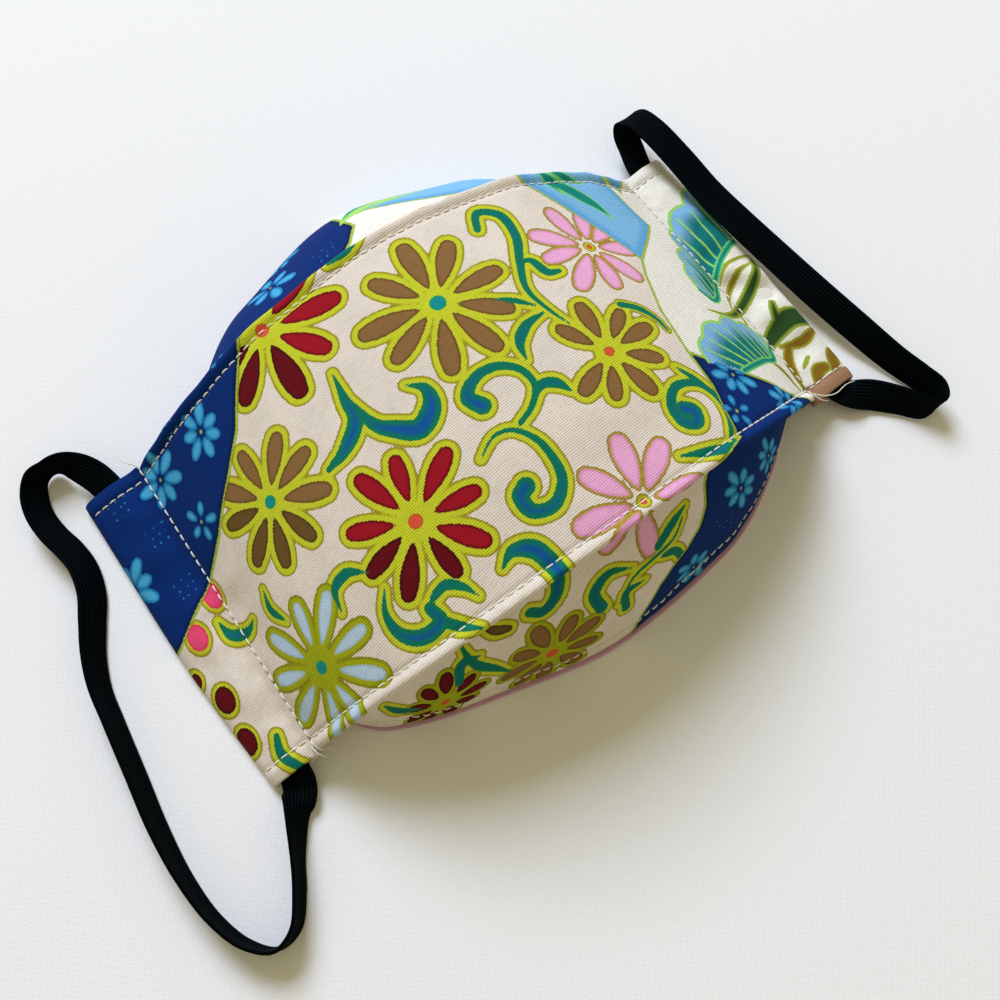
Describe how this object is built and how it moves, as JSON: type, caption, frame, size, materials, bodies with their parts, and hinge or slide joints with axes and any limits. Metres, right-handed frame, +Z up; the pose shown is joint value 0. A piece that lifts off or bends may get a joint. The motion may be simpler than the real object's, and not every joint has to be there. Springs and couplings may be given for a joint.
{
  "type": "cloth face mask",
  "caption": "Washable folded cotton face mask lying front up: a crowned front panel, a flap on each side, an elastic channel across each end and a flat elastic ear loop through each.",
  "frame": {"origin": "on the surface that the mask lies on, under the middle of its cloth (the ear loops reach past it)", "axes": "+X along the mask from one ear loop to the other, +Y towards the nose edge, +Z up and out of the front of the mask"},
  "size_m": [0.2197, 0.1486, 0.0446],
  "materials": {
    "printed_cotton": "plain-woven cotton with a printed patchwork of flowers and curls on cream, navy and white, top-stitched in off-white thread",
    "lining_cotton": "plain mauve-pink cotton",
    "black_elastic": "black flat ribbed elastic, slightly glossy on its ribs"
  },
  "bodies": {
    "root": {"front_panel": "printed_cotton", "nose_flap": "printed_cotton", "chin_flap": "printed_cotton", "casing_left": "printed_cotton", "casing_right": "printed_cotton", "lining": "lining_cotton", "ear_loop_left": "black_elastic", "ear_loop_right": "black_elastic"}
  },
  "joints": []
}
